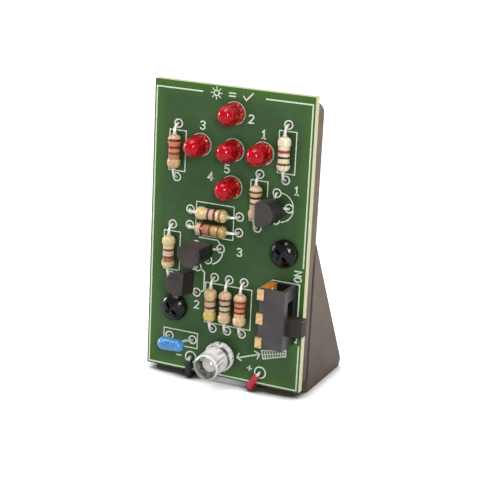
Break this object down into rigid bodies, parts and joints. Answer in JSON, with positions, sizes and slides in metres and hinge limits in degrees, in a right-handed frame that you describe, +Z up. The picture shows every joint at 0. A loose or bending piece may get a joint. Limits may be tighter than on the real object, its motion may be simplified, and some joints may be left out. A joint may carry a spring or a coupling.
{
  "type": "component tester",
  "caption": "Small upright circuit board tester with red lamps, a clear light sensor and a slide switch, standing on a black wedge shaped battery case.",
  "frame": {"origin": "on the surface that the case stands on, under the middle of the case", "axes": "+Z up along the board, -Y the way the board and its lamps face, +X to the right as seen from the front"},
  "size_m": [0.0336, 0.0309, 0.0574],
  "materials": {
    "board": "green solder mask with white print over glass laminate",
    "tinned": "tinned copper, bright",
    "screw": "black oxide, semi gloss",
    "tray": "black moulded plastic, fine grain",
    "case": "black moulded plastic, fine grain",
    "cell": "plain metallic sleeve",
    "plated": "nickel plated strip",
    "red_wire": "soft vinyl insulation",
    "black_wire": "soft vinyl insulation",
    "switch_body": "black moulded plastic",
    "phenolic": "amber laminate",
    "terminal": "bright brass strip",
    "switch_knob": "black moulded plastic",
    "dipped": "glossy dipped epoxy",
    "clear": "water clear epoxy",
    "resistor": "beige lacquer with colour bands",
    "red_lens": "red tinted epoxy",
    "mould": "moulded epoxy, matte"
  },
  "bodies": {
    "board": {"pcb": "board", "solder_joints": "tinned", "pcb_screws": "screw", "battery_tray": "tray", "battery_cell": "cell", "positive_contact": "plated", "negative_contact": "plated", "red_lead": "red_wire", "black_lead": "black_wire", "lead_ends": "tinned", "switch_housing": "switch_body", "switch_plate": "phenolic", "switch_terminals": "terminal", "capacitor_body": "dipped", "capacitor_leads": "tinned", "sensor_lens": "clear", "sensor_leads": "tinned", "resistor_1": "resistor", "resistor_2": "resistor", "resistor_3": "resistor", "resistor_4": "resistor", "resistor_5": "resistor", "resistor_6": "resistor", "resistor_7": "resistor", "resistor_8": "resistor", "resistor_9": "resistor", "resistor_leads_1": "tinned", "resistor_leads_2": "tinned", "resistor_leads_3": "tinned", "resistor_leads_4": "tinned", "resistor_leads_5": "tinned", "resistor_leads_6": "tinned", "resistor_leads_7": "tinned", "resistor_leads_8": "tinned", "resistor_leads_9": "tinned", "lamp_lens_1": "red_lens", "lamp_lens_2": "red_lens", "lamp_lens_3": "red_lens", "lamp_lens_4": "red_lens", "lamp_lens_5": "red_lens", "lamp_leads_1": "tinned", "lamp_leads_2": "tinned", "lamp_leads_3": "tinned", "lamp_leads_4": "tinned", "lamp_leads_5": "tinned", "transistor_1": "mould", "transistor_2": "mould", "transistor_3": "mould", "transistor_leads_1": "tinned", "transistor_leads_2": "tinned", "transistor_leads_3": "tinned"},
    "slider": {"switch_slider": "switch_knob", "switch_wiper": "terminal"},
    "cover": {"battery_cover": "case"}
  },
  "joints": [
    {"name": "switch_slide", "type": "slide", "parent": "board", "child": "slider", "axis": [0, 0, 1], "range_m": [0, 0.003]},
    {"name": "cover_pull", "type": "slide", "parent": "board", "child": "cover", "axis": [0, 1, 0], "range_m": [0, 0.025]}
  ]
}
